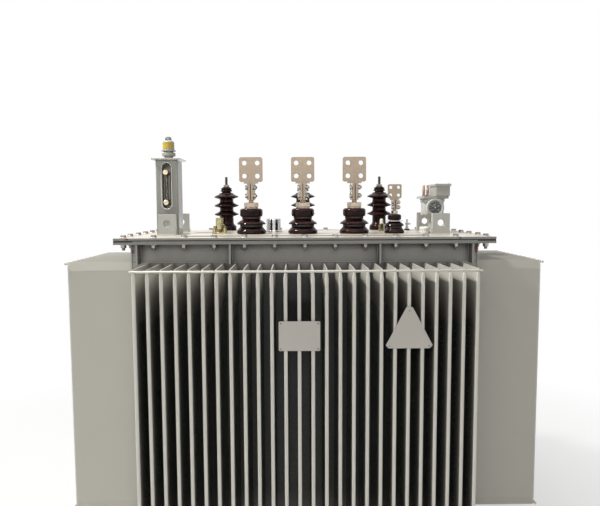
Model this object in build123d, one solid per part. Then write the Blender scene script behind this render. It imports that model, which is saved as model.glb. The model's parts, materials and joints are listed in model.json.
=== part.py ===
"""Sealed oil-filled power transformer with a finned tank.

Millimetres, +Z up. The low-voltage front faces -Y. The origin is on the floor under the tank's centre.
"""
import os
from math import cos, pi

from build123d import *

# Cooling fins: hollow sheet folds whose upper and lower ends are pressed flat and welded
fin_pitch = 45.0
fin_height = 955.0
fin_thickness = 12.5
fin_nose_radius = 4.0
front_fin_depth = 210.0
side_fin_depth = 261.0
front_fin_margin = 60.0
side_fin_margin = 70.0
seam_thickness = 4.0
seam_height = 32.0
tie_rod_radius = 4.0
tie_rod_overrun = 5.0
tie_rod_inset = 7.0
weld_gap = 0.3

# Tank and base
tank_length = 1250.0
tank_depth = 600.0
wall_thickness = 6.0
floor_thickness = 8.0
plain_wall_below_fins = 60.0
collar_height = 71.0
skid_spacing = 820.0
skid_length = 800.0
skid_height = 100.0
skid_flange = 56.0
skid_web = 8.0
skid_hole_radius = 11.0
skid_hole_inset = 50.0

# Rim, gasket and cover
cover_overhang = 50.0
rim_thickness = 10.0
gasket_thickness = 5.0
gasket_inset = 4.0
cover_thickness = 8.0
gusset_thickness = 7.0
gusset_inset = 4.0
gusset_corner_offset = 30.0
gusset_middle_offset = 266.0
bushing_plate_length = 890.0
bushing_plate_depth = 500.0
bushing_plate_thickness = 4.0
bushing_plate_gap = 51.0

# Lifting lugs
lug_offset_y = 140.0
lug_width = 68.0
lug_height = 81.0
lug_thickness = 14.0
lug_hole_radius = 13.0
lug_hole_height = 44.0

# Low-voltage bushings and their clamp terminals
lv_pitch = 200.0
lv_shift_x = -5.0
lv_row_inset = 120.0
lv_base_radius = 58.0
lv_groove_radius = 43.0
lv_skirt_radius = 56.0
lv_neck_radius = 31.0
lv_cap_radius = 44.0
lv_base_height = 27.0
lv_groove_height = 9.0
lv_skirt_height = 22.0
lv_neck_height = 8.0
lv_cap_height = 32.0
lv_stud_radius = 10.0
lv_nut_width = 48.0
lv_nut_height = 19.0
lv_washer_height = 4.0
lv_clamp_radius = 17.0
lv_web_width = 55.0
lv_clamp_height = 64.0
lv_clamp_lift = 9.0
lv_ear_thickness = 7.5
lv_ear_reach = 18.0
lv_ear_slot = 3.0
lv_palm_width = 90.0
lv_palm_height = 95.0
lv_palm_thickness = 10.0
lv_palm_lift = 6.0
lv_palm_hole_radius = 9.0
lv_palm_hole_spacing = 50.0
lv_palm_corner = 8.0

# Neutral bushing and terminal
neutral_x = 350.0
neutral_inset = 110.0
neutral_base_radius = 39.0
neutral_groove_radius = 28.0
neutral_skirt_radius = 37.0
neutral_neck_radius = 19.0
neutral_cap_radius = 26.0
neutral_base_height = 22.0
neutral_groove_height = 6.0
neutral_skirt_height = 18.0
neutral_neck_height = 6.0
neutral_cap_height = 22.0
neutral_stud_radius = 6.0
neutral_nut_width = 22.0
neutral_nut_height = 11.0
neutral_washer_height = 3.0
neutral_clamp_radius = 12.0
neutral_web_width = 36.0
neutral_clamp_height = 38.0
neutral_clamp_lift = 3.0
neutral_ear_thickness = 5.0
neutral_ear_reach = 12.0
neutral_ear_slot = 2.5
neutral_palm_width = 53.0
neutral_palm_height = 54.0
neutral_palm_thickness = 7.0
neutral_palm_lift = 6.0
neutral_palm_hole_radius = 6.0
neutral_palm_hole_spacing = 30.0
neutral_palm_corner = 6.0

# High-voltage bushings
hv_pitch = 340.0
hv_row_inset = 50.0
hv_base_radius = 43.0
hv_base_height = 26.0
hv_core_radius = 30.0
hv_shed_radius = 54.0
hv_shed_count = 3
hv_shed_pitch = 38.5
hv_shed_edge = 4.0
hv_shed_slope = 13.0
hv_shed_under = 6.0
hv_first_shed = 68.0
hv_neck_radius = 20.0
hv_neck_height = 9.0
hv_cap_radius = 26.0
hv_cap_height = 21.0
hv_stud_radius = 6.0
hv_stud_height = 45.0
hv_nut_width = 24.0
hv_nut_height = 10.0

# Oil gauge with relief valve
gauge_shift_x = -8.0
gauge_y = -50.0
gauge_width = 87.0
gauge_depth = 90.0
gauge_height = 293.0
gauge_corner = 5.0
gauge_top_width = 112.0
gauge_top_depth = 125.0
gauge_top_thickness = 6.0
window_width = 37.0
window_height = 180.0
window_sill = 102.0
window_recess = 40.0
window_rim = 3.0
gauge_screw_radius = 10.5
gauge_screw_length = 46.0
gauge_screw_spacing = 118.0
gauge_screw_drop = 6.0
gauge_sight_shift_x = -4.0
gauge_glass_radius = 6.5
gauge_glass_set = 12.0
valve_neck_radius = 17.5
valve_neck_height = 12.0
valve_collar_radius = 27.0
valve_collar_height = 19.0
valve_disc_radius = 29.0
valve_disc_height = 4.0
valve_body_radius = 23.0
valve_body_height = 39.0
valve_shoulder = 8.0
valve_nut_radius = 12.6
valve_nut_height = 14.0

# Protection relay
relay_y = 0.0
relay_neck_radius = 14.0
relay_neck_height = 47.0
relay_funnel_height = 27.0
relay_body_radius = 46.0
relay_body_height = 52.0
relay_collar_radius = 50.0
relay_collar_height = 12.0
relay_head_width = 110.0
relay_head_depth = 110.0
relay_head_thickness = 10.0
relay_head_corner = 10.0
relay_box_width = 56.0
relay_box_depth = 120.0
relay_box_height = 40.0
relay_box_shift = 28.5
relay_box_lid_lip = 4.0
relay_box_lid_thickness = 9.0
dial_radius = 35.0
dial_bezel = 12.0
dial_length = 34.0
dial_recess = 6.0
dial_clearance = 1.0
dial_shift_x = -7.0
gland_radius = 5.0
gland_hex_width = 13.0
gland_hex_height = 10.0
gland_height = 47.0
gland_spacing = 16.0
gland_shift_x = -21.0
gland_shift_y = 30.0

# Small fittings on the cover
pocket_x = -333.0
pocket_inset = 150.0
pocket_width = 26.0
pocket_height = 62.0
pocket_flange_length = 56.0
pocket_flange_depth = 30.0
pocket_flange_thickness = 5.0
filler_x = 326.0
filler_y = 30.0
filler_width = 22.0
filler_height = 32.0
filler_cap_radius = 7.0
filler_cap_height = 20.0
changer_x = -124.0
changer_y = 0.0
changer_cap_radius = 29.0
changer_cap_height = 56.0
changer_flange_radius = 36.0
changer_flange_thickness = 7.0
plug_shift_x = -46.0
plug_shift_y = -70.0
plug_radius = 21.0
plug_height = 27.0
plug_dome = 6.0
bleed_inset = 25.0
bleed_base_radius = 12.0
bleed_base_height = 8.0
bleed_radius = 7.0
bleed_height = 50.0
bleed_knob_radius = 4.0
bleed_knob_reach = 16.0

# Bare plates on the front fins
rating_fin = 12
rating_drop = 220.0
rating_width = 136.0
rating_height = 98.0
warning_fin = 20
warning_drop = 194.0
warning_width = 154.0
warning_height = 137.0
warning_tip = 20.0
plate_thickness = 2.0
plate_standoff = 4.0
plate_corner = 4.0
plate_clip_width = 14.0
rating_clip_height = 60.0
warning_clip_height = 34.0
warning_clip_drop = 34.0

# Levels and extents worked out from the sizes above
floor_level = skid_height + floor_thickness
fin_base = skid_height + plain_wall_below_fins
fin_top = fin_base + fin_height
rim_level = fin_top + collar_height
gasket_level = rim_level + rim_thickness
cover_level = gasket_level + gasket_thickness
cover_top = cover_level + cover_thickness
plate_top = cover_top + bushing_plate_thickness
cover_length = tank_length + 2 * cover_overhang
cover_depth = tank_depth + 2 * cover_overhang
inner_length = tank_length - 2 * wall_thickness
inner_depth = tank_depth - 2 * wall_thickness
front_fin_gaps = int((tank_length - 2 * front_fin_margin) // fin_pitch)
side_fin_gaps = int((tank_depth - 2 * side_fin_margin) // fin_pitch)
front_fin_span = front_fin_gaps * fin_pitch
side_fin_span = side_fin_gaps * fin_pitch
skid_hole_spacing = skid_length - 2 * skid_hole_inset
plate_front = -bushing_plate_depth / 2
lug_x = bushing_plate_length / 2 + bushing_plate_gap + lug_width / 2
gauge_x = gauge_shift_x - lug_x
gauge_top = cover_top + gauge_height + gauge_top_thickness
relay_vessel_height = relay_neck_height + relay_funnel_height + relay_body_height + relay_collar_height
relay_head_level = cover_top + relay_vessel_height
relay_box_level = relay_head_level + relay_head_thickness
tip_plane = -tank_depth / 2 - front_fin_depth
rating_z = fin_top - rating_drop
warning_z = fin_top - warning_drop


def standing(shape, x, y, z):
    """Place a shape that was made on the XY plane at a point."""
    return Pos(x, y, z) * shape


def block(length, depth, height):
    """Box centred in plan, standing on the XY plane."""
    return Box(length, depth, height, align=(Align.CENTER, Align.CENTER, Align.MIN))


def post(radius, height):
    """Cylinder standing on the XY plane."""
    return Cylinder(radius, height, align=(Align.CENTER, Align.CENTER, Align.MIN))


def hexagon(width, height):
    """Hexagonal bar of a width across flats, standing on the XY plane."""
    return extrude(RegularPolygon(width / 2, 6, major_radius=False), height)


def turned(points):
    """Body of revolution about Z from points (radius, height)."""
    return revolve(Plane.XZ * make_face(Polyline(*points, close=True)), Axis.Z)


def group(shapes):
    """One node of several separate solids."""
    return Compound([solid for shape in shapes for solid in shape.solids()])


def skid(side):
    """Channel under one end of the tank, open towards the outside, with a bolt hole near each end."""
    outer = block(skid_flange, skid_length, skid_height)
    pocket = block(skid_flange, skid_length, skid_height - 2 * skid_web)
    channel = outer - Pos(side * skid_web, 0, skid_web) * pocket
    for end in (-1, 1):
        hole = post(skid_hole_radius, skid_web)
        channel -= standing(hole, side * skid_web / 2, end * skid_hole_spacing / 2, 0)
    return standing(channel, side * (skid_spacing - skid_web) / 2, 0, 0)


def long_wall(side):
    """Front or rear wall of the tank."""
    wall = block(tank_length, wall_thickness, rim_level - floor_level)
    return standing(wall, 0, side * (tank_depth - wall_thickness) / 2, floor_level)


def end_wall(side):
    """Left or right wall of the tank, between the long walls."""
    wall = block(wall_thickness, inner_depth, rim_level - floor_level)
    return standing(wall, side * (tank_length - wall_thickness) / 2, 0, floor_level)


def fin_outline(depth, thickness):
    """Plan of a fin that runs out along +X, with the corners of its nose rounded as far as it is thick."""
    flat = Pos(depth / 2, 0) * Rectangle(depth, thickness)
    nose = flat.vertices().group_by(Axis.X)[-1]
    return fillet(nose, min(fin_nose_radius, thickness / 3))


def fin(depth):
    """One fin, standing on the XY plane, thinned to the pressed seam at both ends."""
    wide = fin_outline(depth, fin_thickness)
    thin = fin_outline(depth, seam_thickness)
    upper_bend = fin_height - seam_height
    body = Pos(0, 0, seam_height) * extrude(wide, upper_bend - seam_height)
    lower_end = loft([thin, Pos(0, 0, seam_height) * wide])
    upper_end = loft([Pos(0, 0, upper_bend) * wide, Pos(0, 0, fin_height) * thin])
    return body + lower_end + upper_end


def long_side_fins(side):
    """Row of fins along the front or rear wall."""
    one = Rot(0, 0, side * 90) * fin(front_fin_depth)
    places = [i * fin_pitch - front_fin_span / 2 for i in range(front_fin_gaps + 1)]
    return group([standing(one, x, side * tank_depth / 2, fin_base) for x in places])


def end_fins(side):
    """Row of fins along the left or right wall."""
    one = Rot(0, 0, 90 - side * 90) * fin(side_fin_depth)
    places = [i * fin_pitch - side_fin_span / 2 for i in range(side_fin_gaps + 1)]
    return group([standing(one, side * tank_length / 2, y, fin_base) for y in places])


def tie_rods(span, reach, turn):
    """Two round bars along the fin noses, near the upper and lower ends of the fins."""
    length = span + fin_thickness + 2 * tie_rod_overrun
    bar = Pos(reach + tie_rod_radius + weld_gap, 0, 0) * Rot(90, 0, 0) * Cylinder(tie_rod_radius, length)
    levels = (fin_base + tie_rod_inset, fin_top - tie_rod_inset)
    return group([Pos(0, 0, level) * Rot(0, 0, turn) * bar for level in levels])


def frame(length, depth, height, level):
    """Frame around the tank's mouth, of four strips with a weld gap at each end of the short ones."""
    long_width = (depth - inner_depth) / 2
    short_width = (length - inner_length) / 2
    long_strip = block(length, long_width, height)
    short_strip = block(short_width, inner_depth - 2 * weld_gap, height)
    long_y = (depth - long_width) / 2
    short_x = (length - short_width) / 2
    strips = [standing(long_strip, 0, side * long_y, level) for side in (-1, 1)]
    strips += [standing(short_strip, side * short_x, 0, level) for side in (-1, 1)]
    return group(strips)


def rim_gussets():
    """Upright plates that carry the rim in front of the long walls."""
    reach = cover_overhang - gusset_inset
    plate = block(gusset_thickness, reach, collar_height)
    corner = tank_length / 2 - gusset_corner_offset
    places = [-corner, -gusset_middle_offset, gusset_middle_offset, corner]
    y = (tank_depth + reach) / 2
    return group([standing(plate, x, side * y, fin_top) for side in (-1, 1) for x in places])


def lifting_lugs():
    """Four upright eye plates on the cover."""
    plate = block(lug_width, lug_thickness, lug_height)
    eye = Pos(0, 0, lug_hole_height) * Rot(90, 0, 0) * Cylinder(lug_hole_radius, lug_thickness)
    lug = plate - eye
    places = [(x, y) for x in (-lug_x, lug_x) for y in (-lug_offset_y, lug_offset_y)]
    return group([standing(lug, x, y, cover_top) for x, y in places])


def low_bushing(radii, heights):
    """Porcelain of a low-voltage bushing: base, groove, skirt, neck and cap from the bottom up."""
    base_radius, groove_radius, skirt_radius, neck_radius, cap_radius = radii
    base_height, groove_height, skirt_height, neck_height, cap_height = heights
    groove = base_height + groove_height
    skirt = groove + skirt_height
    neck = skirt + neck_height
    top = neck + cap_height
    edge = cap_height / 8
    return turned([
        (0, 0),
        (base_radius - edge, 0),
        (base_radius, base_height / 4),
        (base_radius, base_height / 2),
        (groove_radius, base_height),
        (groove_radius, groove),
        (skirt_radius, groove),
        (skirt_radius, groove + edge),
        (neck_radius, skirt),
        (neck_radius, neck),
        (cap_radius - edge, neck),
        (cap_radius, neck + edge),
        (cap_radius, top - edge),
        (cap_radius - edge, top),
        (0, top),
    ])


def threaded_stud(radius, length, nut_width, nut_height, washer_height):
    """Stud with a washer and a nut at its foot."""
    washer_radius = nut_width / 2 / cos(pi / 6)
    washer = post(washer_radius, washer_height)
    nut = Pos(0, 0, washer_height) * hexagon(nut_width, nut_height)
    return post(radius, length) + washer + nut


def clamp_terminal(clamp, ears, palm, holes, stud_radius):
    """Split sleeve with two ears in front, and an upright palm with four holes above it."""
    clamp_radius, clamp_height, web_width = clamp
    ear_thickness, ear_reach, ear_slot = ears
    palm_width, palm_height, palm_thickness, palm_lift, palm_corner = palm
    hole_radius, hole_spacing = holes
    ear_width = 2 * ear_thickness + ear_slot
    reach = clamp_radius + ear_reach
    body = post(clamp_radius, clamp_height)
    body += standing(block(ear_width, reach, clamp_height), 0, -reach / 2, 0)
    body -= standing(block(ear_slot, reach, clamp_height), 0, -reach / 2, 0)
    body -= post(stud_radius + weld_gap, clamp_height)
    web = block(web_width, palm_thickness, palm_lift)
    plate = RectangleRounded(palm_width, palm_height, palm_corner)
    plate -= GridLocations(hole_spacing, hole_spacing, 2, 2) * Circle(hole_radius)
    palm_solid = Rot(90, 0, 0) * extrude(plate, palm_thickness / 2, both=True)
    palm_level = clamp_height + palm_lift + palm_height / 2
    return body + standing(web, 0, 0, clamp_height) + standing(palm_solid, 0, 0, palm_level)


def high_bushing():
    """Porcelain of a high-voltage bushing: base, core with sheds, and cap."""
    points = [(0, 0), (hv_base_radius, 0), (hv_base_radius, hv_base_height), (hv_core_radius, hv_base_height)]
    for i in range(hv_shed_count):
        level = hv_first_shed + i * hv_shed_pitch
        points.append((hv_core_radius, level - hv_shed_under))
        points.append((hv_shed_radius, level))
        points.append((hv_shed_radius, level + hv_shed_edge))
        points.append((hv_core_radius, level + hv_shed_edge + hv_shed_slope))
    shoulder = points[-1][1]
    neck = shoulder + hv_neck_height
    top = neck + hv_cap_height
    points.append((hv_neck_radius, shoulder))
    points.append((hv_neck_radius, neck))
    points.append((hv_cap_radius, neck))
    points.append((hv_cap_radius, top))
    points.append((0, top))
    return turned(points)


lv_height = lv_base_height + lv_groove_height + lv_skirt_height + lv_neck_height + lv_cap_height
neutral_height = (neutral_base_height + neutral_groove_height + neutral_skirt_height + neutral_neck_height
                  + neutral_cap_height)
hv_top_shed = hv_first_shed + (hv_shed_count - 1) * hv_shed_pitch + hv_shed_edge + hv_shed_slope
hv_height = hv_top_shed + hv_neck_height + hv_cap_height
lv_places = [(lv_shift_x + i * lv_pitch, plate_front + lv_row_inset) for i in (-1, 0, 1)]
hv_places = [(i * hv_pitch, -plate_front - hv_row_inset) for i in (-1, 0, 1)]
neutral_y = plate_front + neutral_inset
lv_clamp_level = plate_top + lv_height + lv_washer_height + lv_nut_height + lv_clamp_lift
neutral_clamp_level = (plate_top + neutral_height + neutral_washer_height + neutral_nut_height
                       + neutral_clamp_lift)


def lv_bushing():
    """Porcelain of one phase."""
    radii = (lv_base_radius, lv_groove_radius, lv_skirt_radius, lv_neck_radius, lv_cap_radius)
    heights = (lv_base_height, lv_groove_height, lv_skirt_height, lv_neck_height, lv_cap_height)
    return low_bushing(radii, heights)


def neutral_bushing():
    """Porcelain of the neutral."""
    radii = (neutral_base_radius, neutral_groove_radius, neutral_skirt_radius, neutral_neck_radius,
             neutral_cap_radius)
    heights = (neutral_base_height, neutral_groove_height, neutral_skirt_height, neutral_neck_height,
               neutral_cap_height)
    return low_bushing(radii, heights)


def lv_terminal():
    """Clamp and palm of one phase."""
    clamp = (lv_clamp_radius, lv_clamp_height, lv_web_width)
    ears = (lv_ear_thickness, lv_ear_reach, lv_ear_slot)
    palm = (lv_palm_width, lv_palm_height, lv_palm_thickness, lv_palm_lift, lv_palm_corner)
    return clamp_terminal(clamp, ears, palm, (lv_palm_hole_radius, lv_palm_hole_spacing), lv_stud_radius)


def neutral_terminal():
    """Clamp and palm of the neutral."""
    clamp = (neutral_clamp_radius, neutral_clamp_height, neutral_web_width)
    ears = (neutral_ear_thickness, neutral_ear_reach, neutral_ear_slot)
    palm = (neutral_palm_width, neutral_palm_height, neutral_palm_thickness, neutral_palm_lift,
            neutral_palm_corner)
    holes = (neutral_palm_hole_radius, neutral_palm_hole_spacing)
    return clamp_terminal(clamp, ears, palm, holes, neutral_stud_radius)


def lv_studs():
    """Studs of the three phases and the neutral, up into their clamps."""
    length = lv_washer_height + lv_nut_height + lv_clamp_lift + lv_clamp_height
    stud = threaded_stud(lv_stud_radius, length, lv_nut_width, lv_nut_height, lv_washer_height)
    neutral_length = (neutral_washer_height + neutral_nut_height + neutral_clamp_lift
                      + neutral_clamp_height)
    neutral_stud = threaded_stud(neutral_stud_radius, neutral_length, neutral_nut_width, neutral_nut_height,
                                 neutral_washer_height)
    studs = [standing(stud, x, y, plate_top + lv_height) for x, y in lv_places]
    studs.append(standing(neutral_stud, neutral_x, neutral_y, plate_top + neutral_height))
    return group(studs)


def hv_studs():
    """Connection studs on the high-voltage bushings, each with a nut."""
    stud = post(hv_stud_radius, hv_stud_height) + hexagon(hv_nut_width, hv_nut_height)
    return group([standing(stud, x, y, plate_top + hv_height) for x, y in hv_places])


def window_outline(width, height):
    """Upright slot with round ends, on the XZ plane."""
    return Plane.XZ * (Rot(0, 0, 90) * SlotOverall(height, width))


def gauge_column():
    """Square column with a recessed slot window in a raised rim on its front."""
    column = extrude(RectangleRounded(gauge_width, gauge_depth, gauge_corner), gauge_height)
    centre = Pos(0, -gauge_depth / 2, window_sill + window_height / 2)
    column += centre * extrude(window_outline(window_width + 2 * window_rim, window_height + 2 * window_rim),
                               window_rim)
    column -= centre * extrude(window_outline(window_width, window_height), window_rim)
    column -= centre * extrude(window_outline(window_width, window_height), -window_recess)
    return standing(column, gauge_x, gauge_y, cover_top)


def gauge_top_plate():
    """Flat cap over the column."""
    plate = block(gauge_top_width, gauge_top_depth, gauge_top_thickness)
    return standing(plate, gauge_x, gauge_y, cover_top + gauge_height)


gauge_face_y = gauge_y - gauge_depth / 2
gauge_sight_x = gauge_x + gauge_sight_shift_x
gauge_middle = cover_top + window_sill + window_height / 2 - gauge_screw_drop


def gauge_screws():
    """Two round end fittings of the sight glass, standing out of the recess."""
    screw = Rot(90, 0, 0) * post(gauge_screw_radius, gauge_screw_length)
    levels = (gauge_middle - gauge_screw_spacing / 2, gauge_middle + gauge_screw_spacing / 2)
    return group([standing(screw, gauge_sight_x, gauge_face_y + window_recess, level) for level in levels])


def gauge_glass():
    """Sight tube between the end fittings."""
    length = gauge_screw_spacing - 2 * gauge_screw_radius - 2 * weld_gap
    tube = post(gauge_glass_radius, length)
    return standing(tube, gauge_sight_x, gauge_face_y + gauge_glass_set, gauge_middle - length / 2)


def relief_valve():
    """Turned valve on the gauge's cap: neck, collar, disc, body with a shoulder, and nut."""
    collar = valve_neck_height
    disc = collar + valve_collar_height
    body = disc + valve_disc_height
    nut = body + valve_body_height
    top = nut + valve_nut_height
    return standing(turned([
        (0, 0),
        (valve_neck_radius, 0),
        (valve_neck_radius, collar),
        (valve_collar_radius, collar),
        (valve_collar_radius, disc),
        (valve_disc_radius, disc),
        (valve_disc_radius, body),
        (valve_body_radius, body),
        (valve_body_radius, nut - valve_shoulder),
        (valve_body_radius - valve_shoulder, nut),
        (valve_nut_radius, nut),
        (valve_nut_radius, top),
        (0, top),
    ]), gauge_x, gauge_y, gauge_top)


def relay_body():
    """Vessel on a pipe neck: funnel, cylinder and collar."""
    funnel = relay_neck_height
    cylinder = funnel + relay_funnel_height
    collar = cylinder + relay_body_height
    top = collar + relay_collar_height
    return standing(turned([
        (0, 0),
        (relay_neck_radius, 0),
        (relay_neck_radius, funnel),
        (relay_body_radius, cylinder),
        (relay_body_radius, collar),
        (relay_collar_radius, collar),
        (relay_collar_radius, top),
        (0, top),
    ]), lug_x, relay_y, cover_top)


def relay_head():
    """Plate on the vessel that carries the terminal box."""
    outline = RectangleRounded(relay_head_width, relay_head_depth, relay_head_corner)
    return standing(extrude(outline, relay_head_thickness), lug_x, relay_y, relay_head_level)


def relay_terminal_box():
    """Box with a lid whose lip stands out all round."""
    lid_width = relay_box_width + 2 * relay_box_lid_lip
    lid_depth = relay_box_depth + 2 * relay_box_lid_lip
    box = block(relay_box_width, relay_box_depth, relay_box_height)
    box += standing(block(lid_width, lid_depth, relay_box_lid_thickness), 0, 0, relay_box_height)
    return standing(box, lug_x + relay_box_shift, relay_y, relay_box_level)


def relay_dial():
    """Round instrument case on the front of the vessel, with a sunk face."""
    case = Rot(90, 0, 0) * post(dial_radius, dial_length)
    face = Rot(90, 0, 0) * post(dial_radius - dial_bezel, dial_recess)
    case -= Pos(0, dial_recess - dial_length, 0) * face
    level = relay_head_level - dial_radius - dial_clearance
    return standing(case, lug_x + dial_shift_x, relay_y - relay_collar_radius - weld_gap, level)


def relay_glands():
    """Two upright cable glands on the head plate."""
    one = post(gland_radius, gland_height) + hexagon(gland_hex_width, gland_hex_height)
    x = lug_x + gland_shift_x
    places = (x - gland_spacing / 2, x + gland_spacing / 2)
    return group([standing(one, place, relay_y + gland_shift_y, relay_box_level) for place in places])


def thermometer_pocket():
    """Tall hexagonal cap on a flat flange."""
    flange = block(pocket_flange_length, pocket_flange_depth, pocket_flange_thickness)
    cap = hexagon(pocket_width, pocket_height)
    return standing(flange + cap, pocket_x, plate_front + pocket_inset, plate_top)


def filler_valve():
    """Hexagonal body with a slim cap."""
    cap = standing(post(filler_cap_radius, filler_cap_height), 0, 0, filler_height)
    return standing(hexagon(filler_width, filler_height) + cap, filler_x, filler_y, plate_top)


def tap_changer():
    """Round protective cap on a flange."""
    flange = post(changer_flange_radius, changer_flange_thickness)
    return standing(flange + post(changer_cap_radius, changer_cap_height), changer_x, changer_y, plate_top)


def plug_cap():
    """Low round cap with a bevelled top."""
    shoulder = plug_height - plug_dome
    cap = turned([(0, 0), (plug_radius, 0), (plug_radius, shoulder), (plug_radius - plug_dome, plug_height),
                  (0, plug_height)])
    return standing(cap, lug_x + plug_shift_x, relay_y + plug_shift_y, cover_top)


def bleed_valve():
    """Slim valve on a round foot, with a side knob."""
    stem = post(bleed_base_radius, bleed_base_height) + post(bleed_radius, bleed_height)
    knob = Rot(0, 90, 0) * post(bleed_knob_radius, bleed_knob_reach)
    valve = stem + standing(knob, 0, 0, (bleed_base_height + bleed_height) / 2)
    x = bushing_plate_length / 2 + bushing_plate_gap / 2
    return standing(valve, x, -plate_front - bleed_inset, cover_top)


def front_plate(outline, clip_height, clip_drop):
    """Flat plate in front of the fin noses, on clips that reach back to the fins beside its middle."""
    plate = extrude(Plane.XZ * outline, plate_thickness)
    clip = block(plate_clip_width, plate_standoff - weld_gap, clip_height)
    for x in (-fin_pitch, fin_pitch):
        plate += Pos(x, (plate_standoff - weld_gap) / 2, -clip_drop - clip_height / 2) * clip
    return plate


def rating_plate():
    """Bare rectangular plate."""
    outline = RectangleRounded(rating_width, rating_height, plate_corner)
    plate = front_plate(outline, rating_clip_height, 0)
    x = rating_fin * fin_pitch - front_fin_span / 2
    return standing(plate, x, tip_plane - plate_standoff, rating_z)


def warning_plate():
    """Bare triangular plate with its corners cut off."""
    half = warning_width / 2
    low = -warning_height / 2
    tip = warning_tip / 2
    outline = make_face(Polyline(
        (-half, low + tip),
        (-half + tip, low),
        (half - tip, low),
        (half, low + tip),
        (tip, -low),
        (-tip, -low),
        close=True,
    ))
    plate = front_plate(outline, warning_clip_height, warning_clip_drop)
    x = warning_fin * fin_pitch - front_fin_span / 2
    return standing(plate, x, tip_plane - plate_standoff, warning_z)


nodes = {
    "left_skid": skid(-1),
    "right_skid": skid(1),
    "tank_floor": standing(block(tank_length, tank_depth, floor_thickness), 0, 0, skid_height),
    "front_wall": long_wall(-1),
    "rear_wall": long_wall(1),
    "left_wall": end_wall(-1),
    "right_wall": end_wall(1),
    "front_fins": long_side_fins(-1),
    "rear_fins": long_side_fins(1),
    "left_fins": end_fins(-1),
    "right_fins": end_fins(1),
    "front_tie_rods": tie_rods(front_fin_span, tank_depth / 2 + front_fin_depth, -90),
    "rear_tie_rods": tie_rods(front_fin_span, tank_depth / 2 + front_fin_depth, 90),
    "left_tie_rods": tie_rods(side_fin_span, tank_length / 2 + side_fin_depth, 180),
    "right_tie_rods": tie_rods(side_fin_span, tank_length / 2 + side_fin_depth, 0),
    "tank_rim": frame(cover_length, cover_depth, rim_thickness, rim_level),
    "rim_gussets": rim_gussets(),
    "cover_gasket": frame(cover_length - 2 * gasket_inset, cover_depth - 2 * gasket_inset, gasket_thickness,
                          gasket_level),
    "tank_cover": standing(block(cover_length, cover_depth, cover_thickness), 0, 0, cover_level),
    "bushing_plate": standing(block(bushing_plate_length, bushing_plate_depth, bushing_plate_thickness), 0, 0,
                              cover_top),
    "lifting_lugs": lifting_lugs(),
    "neutral_bushing": standing(neutral_bushing(), neutral_x, neutral_y, plate_top),
    "neutral_terminal": standing(neutral_terminal(), neutral_x, neutral_y, neutral_clamp_level),
    "lv_studs": lv_studs(),
    "hv_studs": hv_studs(),
    "gauge_column": gauge_column(),
    "gauge_top_plate": gauge_top_plate(),
    "gauge_glass": gauge_glass(),
    "gauge_screws": gauge_screws(),
    "relief_valve": relief_valve(),
    "relay_body": relay_body(),
    "relay_head": relay_head(),
    "relay_terminal_box": relay_terminal_box(),
    "relay_dial": relay_dial(),
    "relay_glands": relay_glands(),
    "thermometer_pocket": thermometer_pocket(),
    "filler_valve": filler_valve(),
    "tap_changer": tap_changer(),
    "plug_cap": plug_cap(),
    "bleed_valve": bleed_valve(),
    "rating_plate": rating_plate(),
    "warning_plate": warning_plate(),
}
for phase, (x, y) in zip("abc", lv_places):
    nodes[f"lv_bushing_{phase}"] = standing(lv_bushing(), x, y, plate_top)
    nodes[f"lv_terminal_{phase}"] = standing(lv_terminal(), x, y, lv_clamp_level)
for phase, (x, y) in zip("abc", hv_places):
    nodes[f"hv_bushing_{phase}"] = standing(high_bushing(), x, y, plate_top)

os.makedirs("parts", exist_ok=True)
for name, shape in nodes.items():
    export_step(shape, f"parts/{name}.step")
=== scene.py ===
"""Looks of the sealed oil-filled power transformer, in the CAD frame.

Shapes are in millimetres and become metres when a piece is made. The low-voltage front faces -Y.
The corners of a profile are (radius, height, rounding). A disc is (radius, low, high, edge),
a hexagon (across flats, low, high) and a thread (radius, low, high, pitch).
"""
import json
from math import asin, cos, pi, radians, sin, sqrt
from random import Random

import bpy
from mathutils import Matrix, Vector


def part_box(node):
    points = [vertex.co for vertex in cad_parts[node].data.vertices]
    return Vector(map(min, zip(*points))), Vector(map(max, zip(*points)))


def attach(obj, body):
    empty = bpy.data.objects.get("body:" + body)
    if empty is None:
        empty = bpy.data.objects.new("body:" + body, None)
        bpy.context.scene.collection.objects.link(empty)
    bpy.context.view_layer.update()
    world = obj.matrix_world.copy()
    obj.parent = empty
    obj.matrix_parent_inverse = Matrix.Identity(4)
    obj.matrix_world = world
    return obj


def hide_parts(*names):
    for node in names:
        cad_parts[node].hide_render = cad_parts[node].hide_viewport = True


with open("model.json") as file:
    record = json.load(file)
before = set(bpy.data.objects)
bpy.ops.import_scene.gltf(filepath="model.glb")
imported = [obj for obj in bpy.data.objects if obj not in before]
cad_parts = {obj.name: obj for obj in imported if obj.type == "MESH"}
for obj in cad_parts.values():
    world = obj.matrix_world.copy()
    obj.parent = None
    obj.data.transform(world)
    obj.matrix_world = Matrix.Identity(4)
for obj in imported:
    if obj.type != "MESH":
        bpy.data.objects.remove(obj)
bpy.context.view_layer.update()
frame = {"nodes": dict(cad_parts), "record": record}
nodes = frame["nodes"]
MM = 0.001

# Camera at the photograph's viewing angle, in metres and degrees
CAMERA_PLACE = (-0.033, -2.3477, 1.3176)
CAMERA_PITCH = 4.665
CAMERA_YAW = -0.423
CAMERA_ROLL = -0.263
CAMERA_LENS = 34.14
CAMERA_SENSOR = 36
CAMERA_FAR = 100

# Smoothness of the pieces, in steps, degrees and millimetres
TURNS = 64
SMALL_TURNS = 24
HOOP_TURNS = 10
BEAD_TURNS = 8
DAB_TURNS = 20
MOON_STEPS = 12
ROUND_STEPS = 5
CREASE = 32
BEVEL_LIMIT = 35
BEVEL_SEGMENTS = 2
MERGE_REACH = 0.02

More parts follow.
